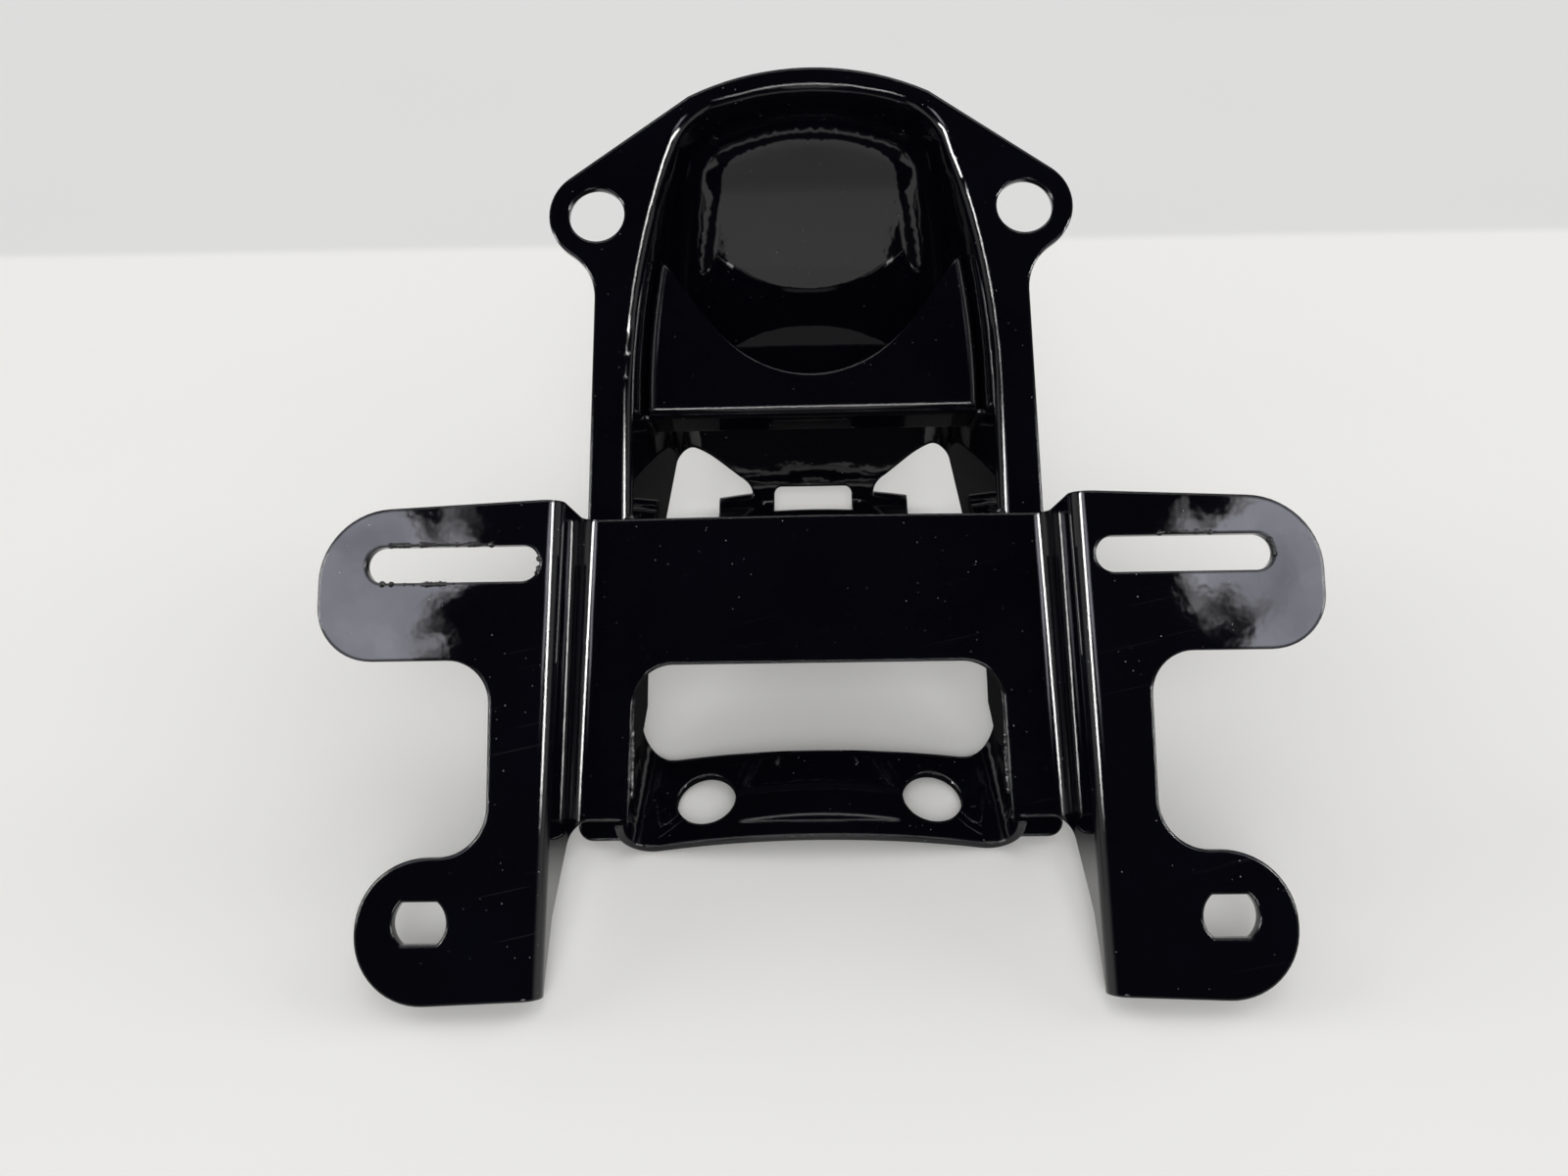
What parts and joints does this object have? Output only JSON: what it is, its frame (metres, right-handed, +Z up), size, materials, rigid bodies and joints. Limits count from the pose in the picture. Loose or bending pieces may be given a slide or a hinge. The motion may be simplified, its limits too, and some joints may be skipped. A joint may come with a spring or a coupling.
{
  "type": "motorbike licence plate bracket",
  "caption": "Black painted pressed-steel bracket that carries a motorbike's licence plate on a folded hat-shaped holder below a scooped tail-lamp hood with bolt ears.",
  "frame": {"origin": "centre of the bracket's outline on the bench it stands on, at the lowest point of its feet", "axes": "+Z up as it stands on a bench on its saddle and rear foot, the plate side faces -Y, +X to the right as seen from the plate side"},
  "size_m": [0.1872, 0.1686, 0.1065],
  "materials": {
    "black_enamel": "gloss"
  },
  "bodies": {
    "root": {"lamp_hood": "black_enamel", "plate_holder": "black_enamel", "cross_brace": "black_enamel"}
  },
  "joints": []
}
